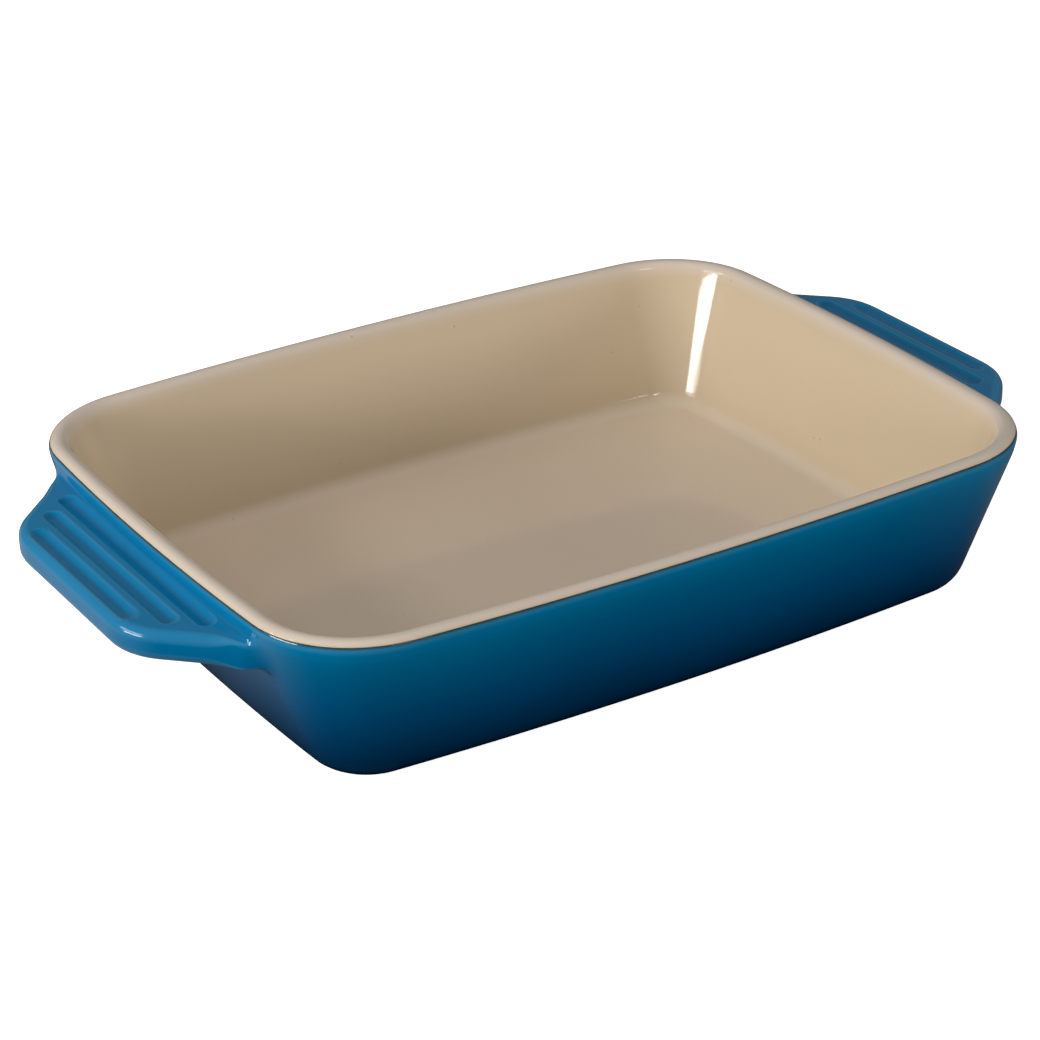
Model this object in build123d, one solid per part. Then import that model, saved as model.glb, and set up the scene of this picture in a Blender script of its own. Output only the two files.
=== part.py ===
"""Rectangular stoneware baking dish with two fluted lug handles.

Millimetres, +Z up.  The origin is on the table plane, under the middle of the dish.
X runs along the length, through both handles.

The dish is one moulding of fired clay with glazes melted on to it.  The clay is
modelled as the vessel and its two lugs, which meet the wall face to face, and each
area of glaze is a thin solid of its own: cream inside and over the rim, blue outside
down to the bare foot ring, and blue in the shallow panel inside that ring.
"""
from build123d import *
import os
from math import cos, radians, sin, tan

# ---- vessel -------------------------------------------------------------
RIM_LENGTH = 318.0          # widest line of the rim, before the sides bow out
RIM_WIDTH = 242.0
HEIGHT = 68.0
CORNER_RADIUS = 44.5        # plan radius of the rim's corners
BOW_LONG_SIDE = 7.2         # how far the middle of a long side bows out
BOW_SHORT_SIDE = 5.2
WALL_LEAN = 19.5            # degrees that the walls lean outwards
WALL_THICKNESS = 8.6        # square to the wall
RIM_ROUND = 4.2             # both top edges: nearly a full round
BASE_ROUND = 15.0           # outside, wall into base
FLOOR_HEIGHT = 10.5         # cooking surface above the table
FLOOR_ROUND = 8.0

# ---- foot ---------------------------------------------------------------
FOOT_SETBACK = 1.5          # from the start of the base's flat to the foot ring
FOOT_WIDTH = 6.0
FOOT_CORNER_RADIUS = 20.0
FOOT_RECESS = 1.0           # depth of the glazed panel inside the foot ring

# ---- glaze --------------------------------------------------------------
GLAZE = 0.5
SEAM_ANGLE = 38.0           # where cream meets blue, up the outer rim rounding

# ---- handles ------------------------------------------------------------
OVERALL_LENGTH = 390.0
HANDLE_TOP = 59.6
HANDLE_THICKNESS = 11.8
HANDLE_EDGE_ROUND = 3.9
HANDLE_CORNER_Y = 48.5      # where the outer edge's line meets the slanting side's
HANDLE_NECK = (161.0, 82.5)     # where the slanting side would meet the wall
HANDLE_HEEL = (153.5, 92.8)     # inside the wall, past the flare
HANDLE_CORNER_RADIUS = 30.0
HANDLE_FLARE_RADIUS = 38.0
HANDLE_ROOT_X = 140.0       # inner end of the lug's plan, hidden by the wall

# ---- flutes in the handles' top faces ------------------------------------
FLUTE_RADIUS = 3.9
FLUTE_AXIS_RISE = 2.6       # height of the flute's axis above the handle's top
FLUTE_X = (167.8, 177.8, 188.0)
FLUTE_HALF_LENGTH = (62.5, 53.5, 42.5)

# ---- colours of the bare solids --------------------------------------------
CLAY = (0.80, 0.74, 0.65)
CREAM = (0.80, 0.72, 0.60)
BLUE = (0.05, 0.30, 0.50)
NAVY = (0.02, 0.08, 0.18)

# ---- worked out ------------------------------------------------------------
LEAN = tan(radians(WALL_LEAN))              # how far the wall moves out per mm of height
SLOPE = 1.0 / cos(radians(WALL_LEAN))       # thickness across the wall, per mm square to it
WALL_ACROSS = WALL_THICKNESS * SLOPE
# The rounded rim is narrower than the sharp edge that the leaning wall would have.
SHARP_RIM_EXTRA = RIM_ROUND * (LEAN + SLOPE - 1.0)
WALL_FOOT = HEIGHT * LEAN - SHARP_RIM_EXTRA     # how far in the wall's line meets the table
SEAM_Z = HEIGHT - RIM_ROUND + RIM_ROUND * sin(radians(SEAM_ANGLE))
TOUCH = 0.01                # how near a plane an edge or a corner counts as on it


def side_radius(half_chord, bow):
    return (half_chord**2 + bow**2) / (2 * bow)


def corner_points(inward, corner):
    """Where the corner arc at +X -Y starts, passes and ends."""
    half_length = RIM_LENGTH / 2
    half_width = RIM_WIDTH / 2
    long_radius = side_radius(half_length, BOW_LONG_SIDE)
    short_radius = side_radius(half_width, BOW_SHORT_SIDE)
    long_centre = Vector(0, long_radius - half_width - BOW_LONG_SIDE)
    short_centre = Vector(half_length + BOW_SHORT_SIDE - short_radius, 0)
    # The corner's centre is as far inside both side arcs as its own radius.
    reach_long = long_radius - inward - corner
    reach_short = short_radius - inward - corner
    gap = short_centre - long_centre
    along = (reach_long**2 - reach_short**2 + gap.length**2) / (2 * gap.length)
    across = (reach_long**2 - along**2) ** 0.5
    unit = gap.normalized()
    centre = long_centre + unit * along + Vector(-unit.Y, unit.X) * across
    start = centre + (centre - long_centre).normalized() * corner
    end = centre + (centre - short_centre).normalized() * corner
    middle = centre + ((start + end) / 2 - centre).normalized() * corner
    return start, middle, end


def outline(inward, z=0.0, corner=None):
    """The rim's outline moved inward: four bowed sides and four tangent corner arcs."""
    first = corner_points(inward, corner or CORNER_RADIUS - inward)
    second = [Vector(p.X, -p.Y) for p in reversed(first)]
    third = [Vector(-p.X, -p.Y) for p in first]
    fourth = [Vector(-p.X, p.Y) for p in reversed(first)]
    end_middle = Vector(RIM_LENGTH / 2 + BOW_SHORT_SIDE - inward, 0)
    side_middle = Vector(0, RIM_WIDTH / 2 + BOW_LONG_SIDE - inward)
    arcs = [
        ThreePointArc(*first),
        ThreePointArc(first[2], end_middle, second[0]),
        ThreePointArc(*second),
        ThreePointArc(second[2], side_middle, third[0]),
        ThreePointArc(*third),
        ThreePointArc(third[2], -end_middle, fourth[0]),
        ThreePointArc(*fourth),
        ThreePointArc(fourth[2], -side_middle, first[0]),
    ]
    return Pos(0, 0, z) * make_face(Curve() + arcs)


def leaning_block(inward, z, height):
    """A block with sides that lean out like the walls; inward is its outline at its base."""
    return loft([outline(inward, z), outline(inward - height * LEAN, z + height)], ruled=True)


def edges_at(solid, z):
    return solid.edges().filter_by_position(Axis.Z, z - TOUCH, z + TOUCH)


def filled_vessel(inset):
    """The outside of the vessel as a block with a rounded base edge, moved in by inset."""
    block = leaning_block(WALL_FOOT + inset * (SLOPE - LEAN), inset, HEIGHT - 2 * inset)
    return fillet(edges_at(block, inset), BASE_ROUND - inset)


def cavity(inset):
    """The space inside the vessel with a rounded floor edge, grown by inset."""
    floor = FLOOR_HEIGHT - inset
    inward = WALL_FOOT - FLOOR_HEIGHT * LEAN + WALL_ACROSS - inset * (SLOPE - LEAN)
    block = leaning_block(inward, floor, HEIGHT - inset - floor)
    return fillet(edges_at(block, floor), FLOOR_ROUND + inset)


def vessel(inset):
    """Walls and floor with a rounded rim, every surface moved in by inset."""
    shell = filled_vessel(inset) - cavity(inset)
    return fillet(edges_at(shell, HEIGHT - inset), RIM_ROUND - inset)


def foot_face(setback, corner):
    """A face on the table plane, set back from where the base's flat part starts."""
    flat_start = BASE_ROUND * tan(radians((90.0 - WALL_LEAN) / 2))
    return outline(WALL_FOOT + flat_start + setback, 0, corner)


def lug_plan(inset):
    """Plan of the right-hand lug: a trapezoid with rounded corners that flares at the wall."""
    tip = OVERALL_LENGTH / 2
    half = [(tip, HANDLE_CORNER_Y), HANDLE_NECK, HANDLE_HEEL, (HANDLE_ROOT_X, HANDLE_HEEL[1])]
    other_half = [(x, -y) for x, y in reversed(half)]
    face = make_face(Polyline(*half, *other_half, close=True))
    tips = face.vertices().filter_by_position(Axis.X, tip - TOUCH, tip + TOUCH)
    face = fillet(tips, HANDLE_CORNER_RADIUS)
    neck_x = HANDLE_NECK[0]
    necks = face.vertices().filter_by_position(Axis.X, neck_x - TOUCH, neck_x + TOUCH)
    face = fillet(necks, HANDLE_FLARE_RADIUS)
    return offset(face, -inset) if inset else face


def flute(x, half_length, inset):
    """A round-ended channel to cut from a handle's top."""
    radius = FLUTE_RADIUS + inset
    reach = half_length - FLUTE_RADIUS
    channel = Rot(90, 0, 0) * Cylinder(radius, 2 * reach)
    channel += [Pos(0, end, 0) * Sphere(radius) for end in (-reach, reach)]
    return Pos(x, 0, HANDLE_TOP + FLUTE_AXIS_RISE) * channel


def lug(inset):
    """The right-hand lug as a fluted plate that runs on into the wall, moved in by inset."""
    bottom = HANDLE_TOP - HANDLE_THICKNESS + inset
    plate = extrude(Pos(0, 0, bottom) * lug_plan(inset), HANDLE_THICKNESS - 2 * inset)
    long_edges = edges_at(plate, bottom) + edges_at(plate, HANDLE_TOP - inset)
    plate = fillet(long_edges, HANDLE_EDGE_ROUND - inset)
    for x, half_length in zip(FLUTE_X, FLUTE_HALF_LENGTH):
        plate -= flute(x, half_length, inset)
    return plate


def both_lugs(inset):
    right = lug(inset)
    return right + right.rotate(Axis.Z, 180)


def half_of(solid, sign):
    """The part of a solid on the +X or the -X side."""
    reach = OVERALL_LENGTH
    return solid & Pos(sign * reach / 2, 0, HEIGHT / 2) * Box(reach, reach, 2 * HEIGHT)


def make_clay():
    """The vessel with its foot ring, and the two lugs that stand out from its wall."""
    ring = extrude(foot_face(FOOT_SETBACK, FOOT_CORNER_RADIUS), 2 * GLAZE)
    panel = foot_face(FOOT_SETBACK + FOOT_WIDTH, FOOT_CORNER_RADIUS - FOOT_WIDTH)
    body = vessel(GLAZE) + ring - extrude(panel, FOOT_RECESS + GLAZE)
    lugs = both_lugs(GLAZE) - filled_vessel(GLAZE)
    return body, lugs


def make_glaze(lugs):
    """The cream coat, the blue coat and the blue panel under the base."""
    coats = vessel(0) - vessel(GLAZE)
    # The middle of the wall parts the inside's coat from the outside's.
    middle_z = FLOOR_HEIGHT / 2
    middle = WALL_FOOT - middle_z * LEAN + WALL_ACROSS / 2
    inside = leaning_block(middle, middle_z, HEIGHT)
    reach = 2 * OVERALL_LENGTH
    above_seam = Pos(0, 0, SEAM_Z + HEIGHT / 2) * Box(reach, reach, HEIGHT)
    cream = coats & (inside + above_seam)

    foot = extrude(foot_face(FOOT_SETBACK, FOOT_CORNER_RADIUS), 2 * GLAZE)
    lug_coats = both_lugs(0) - both_lugs(GLAZE) - filled_vessel(0)
    blue = coats - inside - above_seam - foot - lugs + lug_coats

    panel = foot_face(FOOT_SETBACK + FOOT_WIDTH, FOOT_CORNER_RADIUS - FOOT_WIDTH)
    underside = extrude(Pos(0, 0, FOOT_RECESS) * panel, GLAZE)
    return cream, blue, underside


def write(name, solid, colour):
    solid.label = name
    solid.color = Color(*colour)
    export_step(solid, f"parts/{name}.step")
    print(name, len(solid.solids()), "solid,", round(solid.volume), "cubic mm")


def main():
    os.makedirs("parts", exist_ok=True)
    body, lugs = make_clay()
    cream, blue, underside = make_glaze(lugs)
    write("stoneware_body", body, CLAY)
    write("handle_left", half_of(lugs, -1), CLAY)
    write("handle_right", half_of(lugs, 1), CLAY)
    write("interior_glaze", cream, CREAM)
    write("exterior_glaze", blue, BLUE)
    write("underside_glaze", underside, NAVY)


if __name__ == "__main__":
    main()
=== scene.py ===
"""Looks for the glazed stoneware baking dish: three coats of glaze over the packed clay.

The coats are meshes of rings round the dish.  A ring is the rim's outline moved inward,
so every surface is a list of (inward, height) rows swept round the same columns.
Lengths are millimetres, as in the design, and MM turns them into Blender's metres.  Only
the stage, from the camera on, is in metres.
"""
import bpy
import numpy as np
from math import atan2, cos, hypot, pi, radians, sin, sqrt, tan
from mathutils import Matrix, Vector


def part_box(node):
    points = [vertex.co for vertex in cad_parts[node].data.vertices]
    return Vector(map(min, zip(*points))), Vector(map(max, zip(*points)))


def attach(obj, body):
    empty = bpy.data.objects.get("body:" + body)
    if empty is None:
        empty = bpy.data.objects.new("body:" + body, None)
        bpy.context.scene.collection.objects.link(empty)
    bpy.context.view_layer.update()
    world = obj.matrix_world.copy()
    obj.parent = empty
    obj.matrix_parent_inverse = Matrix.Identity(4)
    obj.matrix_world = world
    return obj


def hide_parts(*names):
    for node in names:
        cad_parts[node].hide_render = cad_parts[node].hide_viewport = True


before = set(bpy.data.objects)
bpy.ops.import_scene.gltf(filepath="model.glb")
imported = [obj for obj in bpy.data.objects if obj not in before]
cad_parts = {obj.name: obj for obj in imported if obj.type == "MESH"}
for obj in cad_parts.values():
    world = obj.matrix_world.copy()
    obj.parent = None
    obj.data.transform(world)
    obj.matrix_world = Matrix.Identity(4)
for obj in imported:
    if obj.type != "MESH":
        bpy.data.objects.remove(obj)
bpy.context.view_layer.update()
MM = 0.001

# ---- sizes, read from the frame where a CAD node shows them ---------------------
_, blue_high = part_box("exterior_glaze")
_, cream_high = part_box("interior_glaze")
HEIGHT = cream_high.z / MM
TIP_X = blue_high.x / MM    # end of the handles

# ---- sizes that the frame doesn't state, as in the design ------------------------
RIM_LENGTH = 318.0
RIM_WIDTH = 242.0
BOW_LONG = 7.2              # how far the middle of a long side stands out
BOW_SHORT = 5.2
CORNER_RADIUS = 44.5
WALL_LEAN = radians(19.5)
WALL_THICKNESS = 8.6
RIM_ROUND = 4.2
BASE_ROUND = 15.0
FLOOR_HEIGHT = 10.5
FLOOR_ROUND = 8.0
FOOT_SETBACK = 1.5          # from the end of the base's round in to the foot ring
FOOT_WIDTH = 6.0
FOOT_CORNER_RADIUS = 20.0
FOOT_EDGE = 0.6             # rounding of the bare foot ring's edges
PANEL_HEIGHT = 1.0          # of the glazed panel inside the foot ring
PANEL_CROWN = 0.25          # how much further the panel's middle is raised
FOOT_LIFT = 0.35            # the blue coat stops this far above the table
GLAZE = 0.45
CLAY_GAP = 0.05             # between a coat's back and the clay
UNEVEN = 0.05               # how far a glazed surface wanders
SEAM_ANGLE = radians(38.0)
HANDLE_TOP = 59.6
HANDLE_THICKNESS = 11.8
HANDLE_ROUND = 3.9
HANDLE_CORNER_Y = 48.5
HANDLE_CORNER_RADIUS = 30.0
FLARE_RADIUS = 38.0
FLUTE_X = (167.8, 177.8, 188.0)
FLUTE_HALF_LENGTH = (62.5, 53.5, 42.5)
FLUTE_RADIUS = 3.9
FLUTE_AXIS_RISE = 2.6       # height of a flute's axis above the handle's top
FLUTE_LIP = 0.62            # softness of a flute's edge under the glaze
FLUTE_START = 2.5           # below the handle's top, where the cut starts
FLUTE_FADE = 2.0            # height over which it becomes a full cut

LEAN = tan(WALL_LEAN)
SLOPE = 1 / cos(WALL_LEAN)
SHARP_RIM_EXTRA = RIM_ROUND * (LEAN + SLOPE - 1)
RIM_CENTRE_Z = HEIGHT - RIM_ROUND
SEAM_Z = RIM_CENTRE_Z + RIM_ROUND * sin(SEAM_ANGLE)
HANDLE_LOW = HANDLE_TOP - HANDLE_THICKNESS
FILLET_Z = FLOOR_HEIGHT + FLOOR_ROUND        # centre of the round between wall and floor


# ---- the outline ------------------------------------------------------------------
def outline_centres():
    """Radii and centres of the long side's and the short side's arcs, in the +X +Y quarter."""
    half_x, half_y = RIM_LENGTH / 2, RIM_WIDTH / 2
    long_radius = (half_x**2 + BOW_LONG**2) / (2 * BOW_LONG)
    short_radius = (half_y**2 + BOW_SHORT**2) / (2 * BOW_SHORT)
    long_centre = np.array([0.0, half_y + BOW_LONG - long_radius])
    short_centre = np.array([half_x + BOW_SHORT - short_radius, 0.0])
    return long_radius, short_radius, long_centre, short_centre


LONG_RADIUS, SHORT_RADIUS, LONG_CENTRE, SHORT_CENTRE = outline_centres()


def corner_centre(inward, corner):
    """Centre of the corner arc that touches both side arcs from inside."""
    reach_long = LONG_RADIUS - inward - corner
    reach_short = SHORT_RADIUS - inward - corner
    gap = SHORT_CENTRE - LONG_CENTRE
    length = hypot(*gap)
    along = (reach_long**2 - reach_short**2 + length**2) / (2 * length)
    across = sqrt(reach_long**2 - along**2)
    unit = gap / length
    return LONG_CENTRE + unit * along + np.array([unit[1], -unit[0]]) * across


def quarter_ring(columns, inward, corner=None):
    """Points and outward normals of a ring's first quarter, one for each column.

    A column is 0 to 1 along the short side, 1 to 2 round the corner and 2 to 3 along
    the long side.
    """
    corner = corner or CORNER_RADIUS - inward
    centre = corner_centre(inward, corner)
    start = atan2(*(centre - SHORT_CENTRE)[::-1])
    end = atan2(*(centre - LONG_CENTRE)[::-1])
    side_angle = start * np.clip(columns, 0, 1)
    corner_angle = (end - start) * np.clip(columns - 1, 0, 1)
    long_angle = (pi / 2 - end) * np.clip(columns - 2, 0, 1)
    angle = side_angle + corner_angle + long_angle
    normal = np.stack([np.cos(angle), np.sin(angle)], axis=1)
    on_short = SHORT_CENTRE + normal * (SHORT_RADIUS - inward)
    on_corner = centre + normal * corner
    on_long = LONG_CENTRE + normal * (LONG_RADIUS - inward)
    place = columns[:, None]
    points = np.where(place <= 1, on_short, np.where(place <= 2, on_corner, on_long))
    return points, normal


def all_round(quarter):
    """A row of first-quarter points turned into the whole ring by mirroring."""
    flip_x = quarter * np.array([-1, 1, 1])
    flip_y = quarter * np.array([1, -1, 1])
    flip_both = quarter * np.array([-1, -1, 1])
    return np.concatenate([quarter[:-1], flip_x[:0:-1], flip_both[:-1], flip_y[:0:-1]])


def even_columns(short, corner, long):
    """Columns of a quarter, with so many steps along each of its three stretches."""
    parts = [np.linspace(0, 1, short, endpoint=False)]
    parts += [1 + np.linspace(0, 1, corner, endpoint=False), 2 + np.linspace(0, 1, long + 1)]
    return np.concatenate(parts)


def ring(columns, inward, z, corner=None):
    """A whole ring at one height, from the middle of the +X side and anticlockwise."""
    points, _ = quarter_ring(columns, inward, corner)
    return all_round(np.column_stack([points, np.full(len(points), z)]))


# ---- profile rows: (inward, height) pairs --------------------------------------------
def wall_inward(z):
    """How far in from the rim's widest line the outer wall is at a height."""
    return (HEIGHT - z) * LEAN - SHARP_RIM_EXTRA


def inner_inward(z):
    """The same for the inner wall."""
    return wall_inward(z) + WALL_THICKNESS * SLOPE


def arc_rows(centre_inward, centre_z, radius, start, end, steps):
    """Rows round an arc; an angle is 0 straight out from the dish and pi / 2 straight up."""
    angles = np.linspace(start, end, steps + 1)
    return [(centre_inward - radius * cos(a), centre_z + radius * sin(a)) for a in angles]


RIM_INNER_CENTRE = RIM_ROUND + (WALL_THICKNESS - 2 * RIM_ROUND) * SLOPE
FILLET_CENTRE = inner_inward(FILLET_Z) + FLOOR_ROUND * SLOPE
BASE_CENTRE = wall_inward(BASE_ROUND) + BASE_ROUND * SLOPE
FOOT_OUTER = BASE_CENTRE + FOOT_SETBACK
FOOT_INNER = FOOT_OUTER + FOOT_WIDTH


def outer_rim_rows():
    """From the seam round the rim's outside to the wall."""
    return arc_rows(RIM_ROUND, RIM_CENTRE_Z, RIM_ROUND, SEAM_ANGLE, -WALL_LEAN, 12)


def lifted(rows):
    """Rows round the base, raised towards their low end to where the blue coat stops."""
    return [(inward, z + FOOT_LIFT * (1 - z / BASE_ROUND)) for inward, z in rows]


# ---- meshes ---------------------------------------------------------------------------
def surface_normals(points, faces):
    """Area-weighted vertex normals."""
    a, b, c, d = (points[faces[:, i]] for i in range(4))
    face_normal = np.cross(c - a, d - b)
    normals = np.zeros_like(points)
    for i in range(4):
        np.add.at(normals, faces[:, i], face_normal)
    length = np.linalg.norm(normals, axis=1, keepdims=True)
    return normals / np.maximum(length, 1e-12)


def ring_faces(rows, count, first=0):
    """Quads between closed anticlockwise rings.

    They face outward where each ring is lower than the one before it.
    """
    index = first + np.arange(rows * count).reshape(rows, count)
    after = np.roll(index, -1, axis=1)
    quads = np.stack([index[:-1], index[1:], after[1:], after[:-1]], axis=-1)
    return quads.reshape(-1, 4)


def columns_around(columns):
    """How many columns a whole ring has."""
    return 4 * (len(columns) - 1)


def mesh_object(name, points, faces, attributes=None):
    """A smooth-shaded object, with named numbers on its points where a material needs them."""
    mesh = bpy.data.meshes.new(name)
    face_list = faces.tolist() if hasattr(faces, "tolist") else faces
    mesh.from_pydata((points * MM).tolist(), [], face_list)
    mesh.polygons.foreach_set("use_smooth", [True] * len(mesh.polygons))
    for key, values in (attributes or {}).items():
        layer = mesh.attributes.new(key, "FLOAT", "POINT")
        layer.data.foreach_set("value", np.asarray(values, np.float32))
    mesh.validate()
    mesh.update()
    piece = bpy.data.objects.new(name, mesh)
    bpy.context.scene.collection.objects.link(piece)
    return piece


def waviness(points, amplitude):
    """Slow unevenness of a hand-finished glazed surface, the same on every run."""
    x, y, z = points.T
    wave = np.sin(x / 23 + 1.3 * np.sin(y / 31)) + np.sin(y / 19 + 1.1 * np.sin(z / 17 + x / 41))
    return amplitude * (wave + np.sin(z / 11 + x / 37 - y / 29)) / 3


# ---- cream coat: over the rim, down the wall and across the floor -----------------------
def floor_grid(edge, count_x, count_y):
    """Quads across a closed ring, as a grid between its four sides.

    The ring starts at the middle of the +X side and runs anticlockwise.
    """
    total = len(edge)
    order = (np.arange(total) - count_y // 2) % total
    right = order[: count_y + 1]
    top = order[count_y: count_y + count_x + 1]
    left = order[count_y + count_x: 2 * count_y + count_x + 1]
    bottom = np.append(order[2 * count_y + count_x:], order[0])
    s = np.linspace(0, 1, count_x + 1)[:, None, None]
    t = np.linspace(0, 1, count_y + 1)[None, :, None]
    low, high = edge[bottom][:, None], edge[top[::-1]][:, None]
    near, far = edge[left[::-1]][None], edge[right][None]
    corners = (1 - s) * ((1 - t) * edge[bottom[0]] + t * edge[top[-1]])
    corners = corners + s * ((1 - t) * edge[bottom[-1]] + t * edge[top[0]])
    grid = (1 - t) * low + t * high + (1 - s) * near + s * far - corners
    index = np.full((count_x + 1, count_y + 1), -1)
    index[:, 0], index[:, -1] = bottom, top[::-1]
    index[0, :], index[-1, :] = left[::-1], right
    inner = grid[1:-1, 1:-1].reshape(-1, 3)
    index[1:-1, 1:-1] = total + np.arange(len(inner)).reshape(count_x - 1, count_y - 1)
    quads = np.stack([index[:-1, :-1], index[1:, :-1], index[1:, 1:], index[:-1, 1:]], axis=-1)
    return inner, quads.reshape(-1, 4)


def bridge(loop, other):
    """Quads from one closed loop of points to another with as many points."""
    return np.stack([loop, np.roll(loop, -1), np.roll(other, -1), other], axis=-1)


def close_skin(points, faces, edge):
    """A coat of glaze: the surface, its copy moved inward, and a wall round its edge."""
    back = points - surface_normals(points, faces) * GLAZE
    count = len(points)
    wall = bridge(edge + count, edge)
    return np.concatenate([points, back]), np.concatenate([faces, faces[:, ::-1] + count, wall])


CORNER_EXTRA = 5.0
CORNER_LEAST = 6.0


def floor_corner(inward):
    """Corner radius of an inner ring, which shrinks slowly as the wall leans in."""
    even = CORNER_RADIUS - inward
    return max(even, even / 2 + CORNER_EXTRA, CORNER_LEAST)


def grid_size(short, corner, long):
    """Steps along X and Y of the grid that fills a ring with so many steps on each stretch."""
    return 2 * (corner // 2 + long), 2 * (short + corner // 2)


CREAM_STEPS = (22, 20, 30)       # along the short side, round the corner, along the long side
SEAM_FADE = (1.0, 0.8, 0.3)      # share of the seam's colour on the coat's first rings


def inner_rows(inset, rim_steps, wall_steps, fillet_steps):
    """From the rim's top down the inner wall to the floor, so far under the glaze's surface."""
    rows = arc_rows(RIM_INNER_CENTRE, RIM_CENTRE_Z, RIM_ROUND - inset, pi / 2, pi - WALL_LEAN, rim_steps)
    fillet = arc_rows(FILLET_CENTRE, FILLET_Z, FLOOR_ROUND + inset, -WALL_LEAN, -pi / 2, fillet_steps)
    heights = np.linspace(rows[-1][1], fillet[0][1], wall_steps + 1)[1:-1]
    return rows + [(inner_inward(z) - inset * SLOPE, z) for z in heights] + fillet


def make_cream_coat():
    columns = even_columns(*CREAM_STEPS)
    count = columns_around(columns)
    rows = arc_rows(RIM_ROUND, RIM_CENTRE_Z, RIM_ROUND, SEAM_ANGLE, pi / 2, 10)
    rows += inner_rows(0, 14, 17, 18)
    rings = [ring(columns, inward, z, floor_corner(inward)) for inward, z in rows]
    inner, floor_quads = floor_grid(rings[-1], *grid_size(*CREAM_STEPS))
    floor_first = (len(rings) - 1) * count
    points = np.concatenate(rings + [inner])
    faces = np.concatenate([ring_faces(len(rings), count)[:, ::-1], floor_quads + floor_first])
    points = points + surface_normals(points, faces) * waviness(points, UNEVEN)[:, None]
    points[:, 2] = np.minimum(points[:, 2], HEIGHT)
    seam = np.zeros(len(points))
    seam[:len(SEAM_FADE) * count] = np.repeat(SEAM_FADE, count)
    points, faces = close_skin(points, faces, np.arange(count))
    return mesh_object("cream_glaze_coat", points, faces, {"seam": np.concatenate([seam, seam])})


# ---- blue coat: the outer wall and both lugs ----------------------------------------------
def handle_edge(shares):
    """Points and normals at shares of half the +X handle's edge, and the Y where it ends.

    The edge starts at the middle of the tip.  It is straight, turns by 45 degrees, is
    straight again, and flares out into the dish's own corner.
    """
    radius = HANDLE_CORNER_RADIUS
    corner_y = HANDLE_CORNER_Y - radius * tan(pi / 8)
    corner = np.array([TIP_X - radius, corner_y])
    slant = np.array([1, 1]) / sqrt(2)
    down_slant = np.array([-1, 1]) / sqrt(2)
    slant_start = corner + slant * radius
    wall_radius = CORNER_RADIUS - wall_inward(HANDLE_TOP)
    wall_centre = corner_centre(0, CORNER_RADIUS)
    line = (TIP_X + HANDLE_CORNER_Y - wall_centre.sum()) / sqrt(2)
    off = sqrt((wall_radius + FLARE_RADIUS) ** 2 - (line + FLARE_RADIUS) ** 2)
    flare = wall_centre + slant * (line + FLARE_RADIUS) - down_slant * off
    slant_length = hypot(*(flare - slant * FLARE_RADIUS - slant_start))
    to_wall = wall_centre - flare
    flare_turn = 5 * pi / 4 - (atan2(to_wall[1], to_wall[0]) % (2 * pi))
    stops = np.cumsum([corner_y, radius * pi / 4, slant_length, FLARE_RADIUS * flare_turn])
    points, normals = [], []
    for s in shares * stops[-1]:
        if s <= stops[0]:
            points.append((TIP_X, s))
            normals.append((1, 0))
        elif s <= stops[1]:
            angle = (s - stops[0]) / radius
            normals.append((cos(angle), sin(angle)))
            points.append(corner + radius * np.array(normals[-1]))
        elif s <= stops[2]:
            points.append(slant_start + down_slant * (s - stops[1]))
            normals.append(slant)
        else:
            angle = 5 * pi / 4 - (s - stops[2]) / FLARE_RADIUS
            normals.append((-cos(angle), -sin(angle)))
            points.append(flare - FLARE_RADIUS * np.array(normals[-1]))
    end_y = flare[1] + to_wall[1] * FLARE_RADIUS / hypot(*to_wall)
    return np.array(points), np.array(normals), end_y


def smooth_step(x):
    """0 to 1 with a soft start and end."""
    x = np.clip(x, 0, 1)
    return x * x * (3 - 2 * x)


FULL_ROUND_REACH = 14.0     # how far out of the wall the lug's edge gets its full rounding
ROUND_HEAD_START = 0.5      # added to the reach, so that the rounding starts with the lug
FOLLOW_REACH = 5.0          # nearer to the wall than this, the lug's edge leans with the wall


def lug_path(wall, wall_normal, edge, edge_normal):
    """One column's way from the wall out along the lug's top, round its edge and back below.

    Where the lug has no reach it is the leaning wall itself.
    """
    flat_steps, side_steps, round_points = 79, 11, 24
    reach = hypot(*(edge - wall))
    growth = smooth_step((reach + ROUND_HEAD_START) / FULL_ROUND_REACH)
    rounding = min(HANDLE_ROUND * growth, reach / 2)
    turn = np.linspace(0, pi / 2, round_points)[:, None]
    top_end = edge - rounding * edge_normal
    upper = edge - rounding * (1 - np.sin(turn)) * edge_normal
    upper_z = HANDLE_TOP - rounding * (1 - np.cos(turn))
    lower = upper[::-1]
    lower_z = HANDLE_LOW + HANDLE_TOP - upper_z[::-1]
    top = wall + (top_end - wall) * np.linspace(0, 1, flat_steps + 1)[:-1, None]
    side_z = upper_z[-1] + (lower_z[0] - upper_z[-1]) * np.linspace(0, 1, side_steps + 1)[1:-1, None]
    side = np.repeat(edge[None], len(side_z), axis=0)
    plan = np.concatenate([top, upper, side, lower])
    height = np.concatenate([np.full((len(top), 1), HANDLE_TOP), upper_z, side_z, lower_z])
    follow = 1 - smooth_step(reach / FOLLOW_REACH)
    plan = plan - wall_normal * (HANDLE_TOP - height) * LEAN * follow
    wall_low = wall - wall_normal * HANDLE_THICKNESS * LEAN
    bottom = plan[-1] + (wall_low - plan[-1]) * np.linspace(0, 1, flat_steps + 1)[1:, None]
    plan = np.concatenate([plan, bottom])
    height = np.concatenate([height, np.full((len(bottom), 1), HANDLE_LOW)])
    return np.column_stack([plan, height])


def along(path):
    """Distance along a path at each of its points."""
    return np.concatenate([[0], np.cumsum(np.linalg.norm(np.diff(path, axis=0), axis=1))])


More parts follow.
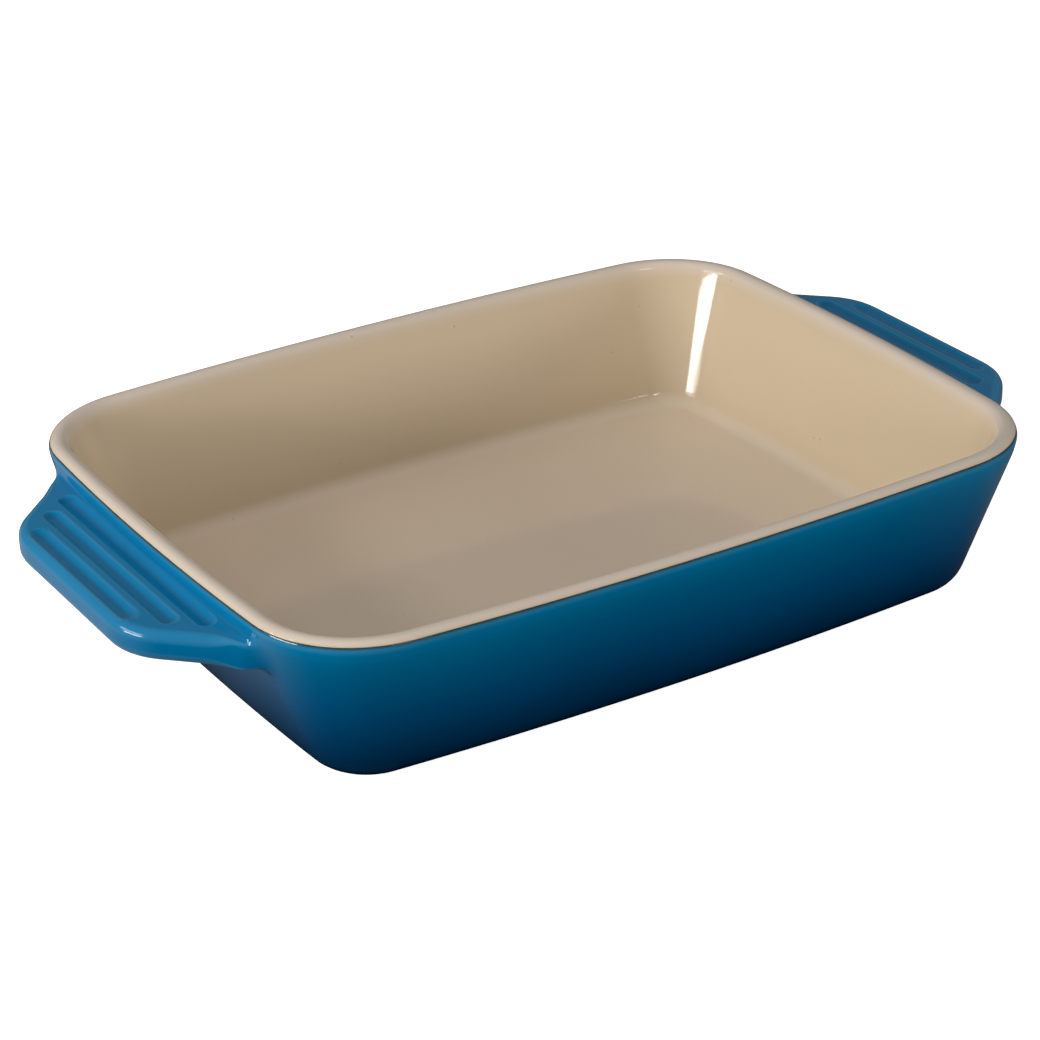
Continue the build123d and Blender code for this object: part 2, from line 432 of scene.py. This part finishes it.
def pick(path, way, wanted):
    """The points of a path at the wanted distances along it."""
    return np.column_stack([np.interp(wanted, way, path[:, i]) for i in range(3)])


SOFTEN_STEP = 0.2           # spacing of the points that are averaged
SOFTEN_REACH = 4            # spreads on each side that go into an average
SOFTEN_NEAR = 2.2           # spreads from a corner within which the path is changed


def soften(path, way, places, spreads):
    """Round off a path's corners at the given places, each over its own spread."""
    even_way = np.arange(0, way[-1], SOFTEN_STEP)
    even = pick(path, way, even_way)
    result = even.copy()
    for place, spread in zip(places, spreads):
        half = int(SOFTEN_REACH * spread / SOFTEN_STEP)
        weights = np.exp(-0.5 * (np.arange(-half, half + 1) * SOFTEN_STEP / spread) ** 2)
        weights /= weights.sum()
        padded = np.pad(even, ((half, half), (0, 0)), "edge")
        smooth = np.column_stack([np.convolve(padded[:, i], weights, "valid") for i in range(3)])
        near = np.exp(-(((even_way - place) / (SOFTEN_NEAR * spread)) ** 4))[:, None]
        result = result + near * (smooth - even)
    return result, even_way


UPPER_ROWS = 22             # from the seam down to the lug's root
LUG_TOP_ROWS = 66           # over the lug's top and round its edge
LUG_LOW_ROWS = 26           # back along its underside
LUG_TURNED = 0.6            # share of the way over the lug at which the close rows end
LOWER_ROWS = 44             # from the lug's lower root to the base
LOWER_EASE = 1.5            # over 1 draws these rows together near the root
TOP_ROOT_SPREAD = 2.5
LOW_ROOT_SPREAD = 2.8


def blue_column(upper, lug, lower):
    """One column from the seam, over the lug, down to the base, with soft inside corners."""
    path = np.concatenate([upper[:-1], lug, lower[1:]])
    way = along(path)
    top_root = way[len(upper) - 1]
    low_root = way[len(upper) + len(lug) - 2]
    path, way = soften(path, way, (top_root, low_root), (TOP_ROOT_SPREAD, LOW_ROOT_SPREAD))
    turned = top_root + LUG_TURNED * (low_root - top_root)
    rows = [np.linspace(0, top_root, UPPER_ROWS, endpoint=False)]
    rows += [np.linspace(top_root, turned, LUG_TOP_ROWS, endpoint=False)]
    rows += [np.linspace(turned, low_root, LUG_LOW_ROWS, endpoint=False)]
    rows += [low_root + (way[-1] - low_root) * np.linspace(0, 1, LOWER_ROWS) ** LOWER_EASE]
    return pick(path, way, np.concatenate(rows))


def flute_depth(x, y):
    """How far the handle's top is cut away at a place, with soft lips under the glaze."""
    depth = np.zeros_like(x)
    for flute_x, half_length in zip(FLUTE_X, FLUTE_HALF_LENGTH):
        past_end = np.maximum(np.abs(y) - (half_length - FLUTE_RADIUS), 0)
        away = np.hypot(np.abs(x) - flute_x, past_end)
        cut = np.sqrt(np.maximum(FLUTE_RADIUS**2 - away**2, 0)) - FLUTE_AXIS_RISE
        depth = depth + FLUTE_LIP * np.log1p(np.exp(cut / FLUTE_LIP))
    return depth


SHORTEST = 0.05             # steps shorter than this count as this long


def bending(grid, normals):
    """How strongly each point of a ring grid is bent, per mm: over 0 on edges, under 0 in hollows."""
    total = np.zeros(grid.shape[:2])
    for axis in (0, 1):
        ahead = np.roll(grid, -1, axis=axis) - grid
        behind = grid - np.roll(grid, 1, axis=axis)
        ahead_length = np.maximum(np.linalg.norm(ahead, axis=2), SHORTEST)
        behind_length = np.maximum(np.linalg.norm(behind, axis=2), SHORTEST)
        turn = ahead / ahead_length[..., None] - behind / behind_length[..., None]
        total -= 2 * (turn * normals).sum(axis=2) / (ahead_length + behind_length)
    total[0] = total[1]
    total[-1] = total[-2]
    return total


BLUE_STRETCHES = (
    (0.0, 0.46, 10),        # the middle of the flutes
    (0.46, 0.92, 46),       # their ends, and the lug's slanting side
    (0.92, 1.0, 6),
    (1.0, 1.28, 14),        # the lug's flare into the dish's corner
    (1.28, 2.0, 16),
    (2.0, 3.0, 16),         # the long side
)


def blue_columns():
    """Columns of a quarter, closest where the flutes and the lug's slanting side end."""
    parts = [np.linspace(start, end, steps, endpoint=False) for start, end, steps in BLUE_STRETCHES]
    return np.append(np.concatenate(parts), BLUE_STRETCHES[-1][1])


def quarter_rows(columns, rows):
    """A quarter of each ring in turn, as an array of rows by columns by three."""
    return np.array([np.column_stack([quarter_ring(columns, inward)[0], np.full(len(columns), z)])
                     for inward, z in rows])


def lug_places(columns):
    """Each column's place and normal on the wall and on the lug's edge, and how many are on the lug.

    Past the lug the second place is the first again.
    """
    wall, wall_normal = quarter_ring(columns, wall_inward(HANDLE_TOP))
    _, _, end_y = handle_edge(np.array([0.0]))
    on_lug = (wall[:, 1] < end_y) & (columns < 2)
    edge, edge_normal = wall.copy(), wall_normal.copy()
    edge[on_lug], edge_normal[on_lug], _ = handle_edge(wall[on_lug, 1] / end_y)
    return list(zip(wall, wall_normal, edge, edge_normal)), int(on_lug.sum())


def blue_grid(columns, places):
    """The blue coat's surface without its flutes, as an array of rings by columns by three."""
    rim = outer_rim_rows()
    rim += [(wall_inward(z), z) for z in np.linspace(rim[-1][1], HANDLE_TOP, 12)[1:]]
    base = arc_rows(BASE_CENTRE, BASE_ROUND, BASE_ROUND, -WALL_LEAN, -pi / 2, 14)
    lower = [(wall_inward(z), z) for z in np.linspace(HANDLE_LOW, base[0][1], 60)[:-1]]
    upper_rows = quarter_rows(columns, rim)
    lower_rows = quarter_rows(columns, lower + lifted(base))
    quarter = [blue_column(upper_rows[:, i], lug_path(*place), lower_rows[:, i])
               for i, place in enumerate(places)]
    rings = [all_round(row) for row in np.array(quarter).transpose(1, 0, 2)]
    rings.append(ring(columns, FOOT_OUTER, FOOT_LIFT, FOOT_CORNER_RADIUS))
    return np.array(rings)


ROOT_ROWS = 4               # rows above the lug's root that are still shaped with its top
BACK_EVERY = 3              # the coat's hidden back keeps every third ring


def cut_flutes(grid):
    """Lower the tops of both handles where the flutes are."""
    top = slice(UPPER_ROWS - ROOT_ROWS, UPPER_ROWS + LUG_TOP_ROWS)
    fade = smooth_step((grid[top, :, 2] - (HANDLE_TOP - FLUTE_START)) / FLUTE_FADE)
    grid[top, :, 2] -= flute_depth(grid[top, :, 0], grid[top, :, 1]) * fade


def add_sparse_back(points, faces, normals, shape):
    """Close a coat of rings with a back of fewer rings, a glaze's thickness inside it."""
    rings, count, _ = shape
    kept = np.append(np.arange(0, rings - 1, BACK_EVERY), rings - 1)
    back = (points - normals * GLAZE).reshape(shape)[kept].reshape(-1, 3)
    back_faces = ring_faces(len(kept), count, len(points))[:, ::-1]
    first = np.arange(count)
    last = len(points) - count + first
    back_last = len(points) + len(back) - count + first
    walls = [bridge(first, len(points) + first), bridge(back_last, last)]
    return np.concatenate([points, back]), np.concatenate([faces, back_faces, *walls])


def make_blue_coat():
    """The coat, the clay's surface just under it, and how many columns are on half a lug."""
    columns = blue_columns()
    places, lug_columns = lug_places(columns)
    grid = blue_grid(columns, places)
    cut_flutes(grid)
    faces = ring_faces(len(grid), columns_around(columns))
    points = grid.reshape(-1, 3)
    normals = surface_normals(points, faces)
    bent = bending(grid, normals.reshape(grid.shape)).reshape(-1)
    points = points + normals * (waviness(points, UNEVEN) - UNEVEN)[:, None]
    clay = (points - normals * (GLAZE + CLAY_GAP)).reshape(grid.shape)
    points, faces = add_sparse_back(points, faces, normals, grid.shape)
    bent = np.append(bent, np.zeros(len(points) - len(bent)))
    return mesh_object("blue_glaze_coat", points, faces, {"bent": bent}), clay, lug_columns


# ---- the pieces under the coats -------------------------------------------------------------
LUG_BELOW_ROWS = 6          # rows below the lug's lower root that still belong to its clay
LUG_EVERY = 2               # the clay lug keeps every second ring
LUG_BACK_SINK = 0.3         # the clay lug's flat back lies this far inside the wall's line


def make_clay_lug(name, clay, middle, half_width):
    """The fired clay of one lug, just under its glaze, and closed along the wall's line."""
    across = np.arange(middle - half_width, middle + half_width + 1) % clay.shape[1]
    below = UPPER_ROWS + LUG_TOP_ROWS + LUG_LOW_ROWS + LUG_BELOW_ROWS
    front = clay[UPPER_ROWS - ROOT_ROWS: below: LUG_EVERY, across]
    back = front[-1] + (front[0] - front[-1]) * np.linspace(0, 1, 14)[1:-1, None, None]
    back[..., 0] -= LUG_BACK_SINK * np.sign(back[..., 0])
    loops = np.concatenate([front, back]).transpose(1, 0, 2)
    count = loops.shape[1]
    quads = ring_faces(len(loops), count)[:, ::-1]
    first = list(range(count))
    last = list(range((len(loops) - 1) * count, len(loops) * count))
    return mesh_object(name, loops.reshape(-1, 3), quads.tolist() + [first[::-1], last])


PANEL_STEPS = (14, 10, 18)
PANEL_UNEVEN = 0.1


def make_underside_coat():
    edge = ring(even_columns(*PANEL_STEPS), FOOT_INNER, PANEL_HEIGHT, FOOT_CORNER_RADIUS - FOOT_WIDTH)
    inner, quads = floor_grid(edge, *grid_size(*PANEL_STEPS))
    inner[:, 2] += PANEL_CROWN + waviness(inner, PANEL_UNEVEN)
    points, faces = close_skin(np.concatenate([edge, inner]), quads[:, ::-1], np.arange(len(edge))[::-1])
    return mesh_object("underside_glaze_coat", points, faces)


CLAY_STEPS = (14, 12, 20)
CLAY_UNEVEN = 0.04
CLAY_PANEL_HEIGHT = PANEL_HEIGHT + 0.8


def clay_rows():
    """The clay's profile, just under the coats, from the panel below to the floor above.

    It also says how many of the rows are the bare foot ring's.
    """
    inset = GLAZE + CLAY_GAP
    edge, bevel = FOOT_EDGE, 0.3 * FOOT_EDGE
    rows = [(FOOT_INNER, CLAY_PANEL_HEIGHT), (FOOT_INNER, edge), (FOOT_INNER - bevel, bevel)]
    rows += [(FOOT_INNER - edge, 0.0), (FOOT_INNER - FOOT_WIDTH / 2, 0.0), (FOOT_OUTER + edge, 0.0)]
    rows += [(FOOT_OUTER + bevel, bevel), (FOOT_OUTER, edge), (FOOT_OUTER, FOOT_LIFT + inset)]
    feet = len(rows)
    rows += lifted(arc_rows(BASE_CENTRE, BASE_ROUND, BASE_ROUND - inset, -pi / 2, -WALL_LEAN, 12))
    rows += arc_rows(RIM_ROUND, RIM_CENTRE_Z, RIM_ROUND - inset, -WALL_LEAN, pi / 2, 12)
    rows += inner_rows(inset, 12, 1, 14)
    return rows, feet


def make_clay_body():
    columns = even_columns(*CLAY_STEPS)
    count = columns_around(columns)
    rows, feet = clay_rows()
    rings = []
    for i, (inward, z) in enumerate(rows):
        corner = FOOT_CORNER_RADIUS + FOOT_OUTER - inward if i < feet else floor_corner(inward)
        rings.append(ring(columns, inward, z, corner))
    floor, floor_quads = floor_grid(rings[-1], *grid_size(*CLAY_STEPS))
    panel, panel_quads = floor_grid(rings[0], *grid_size(*CLAY_STEPS))
    around, ring_points = np.arange(count), len(rings) * count
    floor_index = np.append(ring_points - count + around, ring_points + np.arange(len(floor)))
    panel_index = np.append(around, ring_points + len(floor) + np.arange(len(panel)))
    points = np.concatenate(rings + [floor, panel])
    faces = [ring_faces(len(rings), count)[:, ::-1], floor_index[floor_quads]]
    faces = np.concatenate(faces + [panel_index[panel_quads[:, ::-1]]])
    wave = waviness(points, CLAY_UNEVEN)
    wave[:feet * count] = 0
    points = points + surface_normals(points, faces) * wave[:, None]
    return mesh_object("stoneware_clay_body", points, faces)


# ---- materials -----------------------------------------------------------------------------
class Nodes:
    """A material's node tree, with short calls for the nodes used here."""

    def __init__(self, name):
        self.material = bpy.data.materials.new(name)
        self.material.use_nodes = True
        self.tree = self.material.node_tree
        self.shader = self.tree.nodes["Principled BSDF"]
        self.place = self.add("ShaderNodeTexCoord").outputs["Object"]

    def add(self, kind, inputs=None, **settings):
        node = self.tree.nodes.new(kind)
        for key, value in settings.items():
            setattr(node, key, value)
        for key, value in (inputs or {}).items():
            if isinstance(value, bpy.types.NodeSocket):
                self.tree.links.new(value, node.inputs[key])
            else:
                node.inputs[key].default_value = value
        return node

    def noise(self, scale, detail=2.0, roughness=0.5):
        return self.add("ShaderNodeTexNoise", {"Vector": self.place, "Scale": scale, "Detail": detail,
                                               "Roughness": roughness}).outputs["Fac"]

    def remap(self, value, low, high, to_low=0.0, to_high=1.0):
        return self.add("ShaderNodeMapRange", {"Value": value, "From Min": low, "From Max": high,
                                               "To Min": to_low, "To Max": to_high}).outputs["Result"]

    def math(self, operation, first, second):
        return self.add("ShaderNodeMath", {0: first, 1: second}, operation=operation).outputs[0]

    def mix(self, factor, first, second):
        node = self.add("ShaderNodeMix", data_type="RGBA")
        for socket, value in ((0, factor), (6, first), (7, second)):
            if isinstance(value, bpy.types.NodeSocket):
                self.tree.links.new(value, node.inputs[socket])
            else:
                node.inputs[socket].default_value = value
        return node.outputs[2]

    def ramp(self, value, stops):
        node = self.add("ShaderNodeValToRGB", {"Fac": value})
        elements = node.color_ramp.elements
        elements[0].position, elements[0].color = stops[0]
        elements[1].position, elements[1].color = stops[-1]
        for position, colour in stops[1:-1]:
            elements.new(position).color = colour
        return node.outputs["Color"]

    def bump(self, height, strength, distance):
        inputs = {"Height": height, "Strength": strength, "Distance": distance}
        return self.add("ShaderNodeBump", inputs).outputs["Normal"]

    def to_shader(self, **inputs):
        """Set the shader's inputs, with _ for a space in their names, and give the material."""
        for key, value in inputs.items():
            socket = self.shader.inputs[key.replace("_", " ")]
            if isinstance(value, bpy.types.NodeSocket):
                self.tree.links.new(value, socket)
            else:
                socket.default_value = value
        return self.material


def srgb(red, green, blue):
    """An opaque colour as it looks on screen, 0 to 255, in Blender's linear values."""
    shares = [value / 255 for value in (red, green, blue)]
    linear = [v / 12.92 if v <= 0.04 else ((v + 0.055) / 1.055) ** 2.4 for v in shares]
    return (*linear, 1.0)


def height_of(n):
    return n.add("ShaderNodeSeparateXYZ", {0: n.place}).outputs["Z"]


def unevenly(n, value, scale, detail, amount):
    """A value with a slow noise added to it, half the amount up or down."""
    noise = n.math("SUBTRACT", n.noise(scale, detail), 0.5)
    return n.math("ADD", value, n.math("MULTIPLY", noise, amount))


def cream_glaze():
    """Cream with a few faint iron specks; the floor is painted paler as painted light falling on it, and the
    rim paler and pinker as a painted sheen.
    """
    n = Nodes("cream_glaze")
    height = unevenly(n, height_of(n), 90, 2, 0.0006)
    cloud = n.remap(n.noise(9, 3), 0.3, 0.7)
    base = n.mix(cloud, srgb(211, 191, 161), srgb(216, 196, 166))
    # painted light: the floor is painted paler and less yellow than the walls, standing in for the white
    # light from above that falls on it
    floor = n.remap(height, (FLOOR_HEIGHT + 4) * MM, (FLOOR_HEIGHT + 0.8) * MM)
    base = n.mix(floor, base, srgb(223, 204, 181))
    # painted sheen: the top of the rim is painted paler and pinker
    rim = n.remap(height, (HEIGHT - 6) * MM, (HEIGHT - 0.5) * MM)
    base = n.mix(rim, base, srgb(220, 205, 188))
    seam = n.add("ShaderNodeAttribute", attribute_name="seam").outputs["Fac"]
    base = n.mix(seam, base, srgb(220, 197, 166))
    speck = n.add("ShaderNodeTexVoronoi", {"Vector": n.place, "Scale": 170.0, "Randomness": 1.0})
    dot = n.remap(speck.outputs["Distance"], 0.05, 0.10, 1.0, 0.0)
    chance = n.add("ShaderNodeSeparateColor", {0: speck.outputs["Color"]}).outputs[0]
    rare = n.remap(chance, 0.93, 0.96)
    faint = n.math("MULTIPLY", n.math("MULTIPLY", dot, rare), 0.35)
    base = n.mix(faint, base, srgb(120, 96, 72))
    rough = n.remap(n.noise(60, 3), 0.3, 0.7, 0.07, 0.12)
    normal = n.bump(n.noise(140, 2), 0.25, 0.0001)
    return n.to_shader(Base_Color=base, Roughness=rough, Normal=normal, IOR=1.5)


def blue_glaze():
    """Blue that darkens down the wall, is darker in hollows, partly from pooled glaze and partly as painted
    shade, and is paler over edges, partly from thin glaze and partly as a painted reflection.
    """
    n = Nodes("blue_glaze")
    height = height_of(n)
    level = n.remap(unevenly(n, height, 14, 3, 0.010), 0.0, HEIGHT * MM)
    base = n.ramp(level, [
        (0.0, srgb(2, 30, 58)),
        (0.25, srgb(0, 63, 104)),
        (0.5, srgb(0, 86, 135)),
        (0.75, srgb(0, 107, 154)),
        (0.95, srgb(0, 126, 175)),
    ])
    bent = n.add("ShaderNodeAttribute", attribute_name="bent").outputs["Fac"]
    # darker in hollows: partly the glaze pooling there, partly painted shade in the flutes and at the lugs'
    # roots
    base = n.mix(n.remap(bent, -0.05, -0.35, 0.0, 0.35), base, srgb(0, 78, 124))
    # paler over edges: partly the glaze thinning there, partly a painted reflection of the light on rounded
    # edges and flute lips
    base = n.mix(n.remap(bent, 0.06, 0.45, 0.0, 0.3), base, srgb(84, 150, 180))
    seam_height = unevenly(n, height, 90, 2, 0.0005)
    near_seam = n.remap(seam_height, (SEAM_Z - 1.3) * MM, (SEAM_Z - 0.3) * MM)
    base = n.mix(near_seam, base, srgb(38, 70, 72))
    rough = n.remap(n.noise(50, 3), 0.3, 0.7, 0.07, 0.12)
    normal = n.bump(n.noise(120, 2), 0.2, 0.0001)
    return n.to_shader(Base_Color=base, Roughness=rough, Normal=normal, IOR=1.45)


def underside_glaze():
    """The darkest and dullest glaze, inside the foot ring."""
    n = Nodes("underside_glaze")
    cloud = n.remap(n.noise(16, 4), 0.3, 0.7)
    base = n.mix(cloud, srgb(3, 15, 34), srgb(8, 28, 54))
    rough = n.remap(n.noise(40, 3), 0.3, 0.7, 0.14, 0.26)
    normal = n.bump(n.noise(150, 3), 0.4, 0.0002)
    return n.to_shader(Base_Color=base, Roughness=rough, Normal=normal, IOR=1.45)


def bare_stoneware():
    """Rough buff clay with dark grains, as it shows on the foot ring."""
    n = Nodes("bare_stoneware")
    grain = n.noise(900, 4, 0.7)
    cloud = n.remap(n.noise(25, 3), 0.3, 0.7)
    base = n.mix(cloud, srgb(196, 176, 146), srgb(176, 152, 122))
    speck = n.add("ShaderNodeTexVoronoi", {"Vector": n.place, "Scale": 700.0})
    dot = n.remap(speck.outputs["Distance"], 0.12, 0.2, 0.6, 0.0)
    base = n.mix(dot, base, srgb(120, 92, 66))
    rough = n.remap(grain, 0.2, 0.8, 0.75, 0.95)
    return n.to_shader(Base_Color=base, Roughness=rough, Normal=n.bump(grain, 0.6, 0.0003))


def dress(piece, material):
    piece.data.materials.clear()
    piece.data.materials.append(material)


# ---- camera, light and floor ------------------------------------------------------------------
CAMERA_AZIMUTH = -30.52
CAMERA_ELEVATION = 26.15
CAMERA_ROLL = -1.96
CAMERA_DISTANCE = 1.2051
CAMERA_TARGET = Vector((-0.0066, 0.0, 0.02925))
CAMERA_LENS = 107.33
CAMERA_SENSOR = 36.0
CAMERA_SHIFT_X = 0.0024

STUDIO_DIM = (0.03, 0.03, 0.03, 1)      # what reaches the dish besides the lights
STUDIO_MIRRORED = (0.17, 0.17, 0.18, 1)     # what its glaze mirrors
WHITE = (1, 1, 1, 1)
FLOOR_HALF = 6.0
FLOOR_GAP = 0.0001                      # so that the floor and the foot never share a plane
FLOOR_COLOUR = (0.9, 0.9, 0.9, 1)
FLOOR_BOUNCE = (0.12, 0.12, 0.12, 1)
FLOOR_LIFT = 0.9
CARD_COLOUR = (0.85, 0.92, 1.0, 1)      # a card behind the left handle that only the glaze mirrors
CARD_GLOW = 0.5
CARD_FADE_X = (-0.138, -0.20)           # from where its glow starts to where it is full
CARD_FADE_Y = (-0.10, -0.01)
RIGHT_GLOW = 0.12                       # the table past the right handle, as the glaze mirrors it
RIGHT_FADE_X = (0.12, 0.20)


def direction(azimuth, elevation):
    """From the dish towards a place: azimuth 0 is -Y, and it grows towards +X."""
    a, e = radians(azimuth), radians(elevation)
    return Vector((sin(a) * cos(e), -cos(a) * cos(e), sin(e)))


def make_camera():
    data = bpy.data.cameras.new("camera")
    data.lens = CAMERA_LENS
    data.sensor_width = CAMERA_SENSOR
    data.shift_x = CAMERA_SHIFT_X
    camera = bpy.data.objects.new("camera", data)
    bpy.context.scene.collection.objects.link(camera)
    back = direction(CAMERA_AZIMUTH, CAMERA_ELEVATION)
    right = Vector((0, 0, 1)).cross(back).normalized()
    up = back.cross(right)
    level, tilt = cos(radians(CAMERA_ROLL)), sin(radians(CAMERA_ROLL))
    side = right * level + up * tilt
    top = up * level - right * tilt
    place = CAMERA_TARGET + back * CAMERA_DISTANCE
    camera.matrix_world = Matrix((
        (side.x, top.x, back.x, place.x),
        (side.y, top.y, back.y, place.y),
        (side.z, top.z, back.z, place.z),
        (0, 0, 0, 1),
    ))
    bpy.context.scene.camera = camera


def softbox(name, azimuth, elevation, distance, width, height, power, seen=True):
    """A lamp facing the dish; the glaze mirrors it only if it is seen."""
    data = bpy.data.lights.new(name, "AREA")
    data.shape = "RECTANGLE"
    data.size, data.size_y = width, height
    data.energy = power
    light = bpy.data.objects.new(name, data)
    towards = direction(azimuth, elevation)
    light.location = towards * distance
    light.rotation_mode = "QUATERNION"
    light.rotation_quaternion = towards.to_track_quat("Z", "Y")
    light.visible_glossy = seen
    bpy.context.scene.collection.objects.link(light)


def make_world():
    """White behind the dish, and a dim studio for all that it lights and mirrors."""
    world = bpy.data.worlds.new("studio")
    bpy.context.scene.world = world
    world.use_nodes = True
    tree = world.node_tree
    seen = tree.nodes.new("ShaderNodeLightPath")
    studio = tree.nodes.new("ShaderNodeMix")
    studio.data_type = "RGBA"
    studio.inputs[6].default_value = STUDIO_DIM
    studio.inputs[7].default_value = STUDIO_MIRRORED
    tree.links.new(seen.outputs["Is Glossy Ray"], studio.inputs[0])
    behind = tree.nodes.new("ShaderNodeMix")
    behind.data_type = "RGBA"
    behind.inputs[7].default_value = WHITE
    tree.links.new(studio.outputs[2], behind.inputs[6])
    tree.links.new(seen.outputs["Is Camera Ray"], behind.inputs[0])
    tree.links.new(behind.outputs[2], tree.nodes["Background"].inputs["Color"])


def pale_floor():
    """Pale to look at, but it throws little light back up at the dish."""
    n = Nodes("pale_floor")
    n.to_shader(Base_Color=FLOOR_COLOUR, Roughness=1.0, Specular_IOR_Level=0.0)
    n.to_shader(Emission_Color=WHITE, Emission_Strength=FLOOR_LIFT)
    place = n.add("ShaderNodeSeparateXYZ", {0: n.place}).outputs
    left = n.remap(place["X"], *CARD_FADE_X)
    behind = n.remap(place["Y"], *CARD_FADE_Y)
    card = n.math("MULTIPLY", n.math("MULTIPLY", left, behind), CARD_GLOW)
    right = n.remap(place["X"], *RIGHT_FADE_X, 0.0, RIGHT_GLOW)
    glow = n.add("ShaderNodeEmission", {"Color": CARD_COLOUR, "Strength": n.math("ADD", card, right)})
    dark = n.add("ShaderNodeBsdfDiffuse", {"Color": FLOOR_BOUNCE})
    ray = n.add("ShaderNodeLightPath").outputs
    unseen = n.add("ShaderNodeMixShader", {0: ray["Is Glossy Ray"], 1: dark.outputs[0], 2: glow.outputs[0]})
    mix = n.add("ShaderNodeMixShader", {0: ray["Is Camera Ray"], 1: unseen.outputs[0]})
    n.tree.links.new(n.shader.outputs[0], mix.inputs[2])
    n.tree.links.new(mix.outputs[0], n.tree.nodes["Material Output"].inputs["Surface"])
    return n.material


def make_floor():
    corners = [(x * FLOOR_HALF, y * FLOOR_HALF, -FLOOR_GAP) for x, y in ((-1, -1), (1, -1), (1, 1), (-1, 1))]
    floor = mesh_object("studio_floor", np.array(corners) / MM, [(0, 1, 2, 3)])
    dress(floor, pale_floor())


def make_lights():
    """Each light's azimuth and elevation in degrees, distance, width, height and watts."""
    softbox("strip_left", -96.5, 14.5, 1.28, 0.56, 0.16, 5.2)
    softbox("left_window", -105, 28, 1.4, 0.8, 0.2, 4.2)
    softbox("rim_line", 4.4, 36, 1.52, 0.5, 0.12, 2.4)
    softbox("overhead", 0, 88, 1.4, 0.9, 0.9, 4.4, seen=False)
    softbox("high_left_fill", -100, 50, 1.4, 0.6, 0.6, 2.4, seen=False)
    softbox("low_front", 5, 10, 1.3, 0.6, 0.2, 2.0, seen=False)
    softbox("low_right", 45, 10, 1.3, 0.6, 0.2, 2.5, seen=False)
    softbox("low_left", -52, 10, 1.3, 0.6, 0.2, 3.3, seen=False)


# ---- put together -------------------------------------------------------------------------------
make_camera()
clay_material = bare_stoneware()
cream = make_cream_coat()
dress(cream, cream_glaze())
blue, lug_clay, lug_half = make_blue_coat()
dress(blue, blue_glaze())
underside = make_underside_coat()
dress(underside, underside_glaze())
body = make_clay_body()
right_lug = make_clay_lug("handle_right_clay", lug_clay, 0, lug_half)
left_lug = make_clay_lug("handle_left_clay", lug_clay, lug_clay.shape[1] // 2, lug_half)
for piece in (body, right_lug, left_lug):
    dress(piece, clay_material)
for piece, node, slot in ((cream, "interior_glaze", "cream_glaze"),
                          (blue, "exterior_glaze", "blue_glaze"),
                          (underside, "underside_glaze", "blue_glaze"),
                          (body, "stoneware_body", "stoneware"),
                          (right_lug, "handle_right", "stoneware"),
                          (left_lug, "handle_left", "stoneware")):
    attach(piece, "root")
    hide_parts(node)
make_world()
make_floor()
make_lights()
bpy.context.scene.view_settings.view_transform = "Standard"
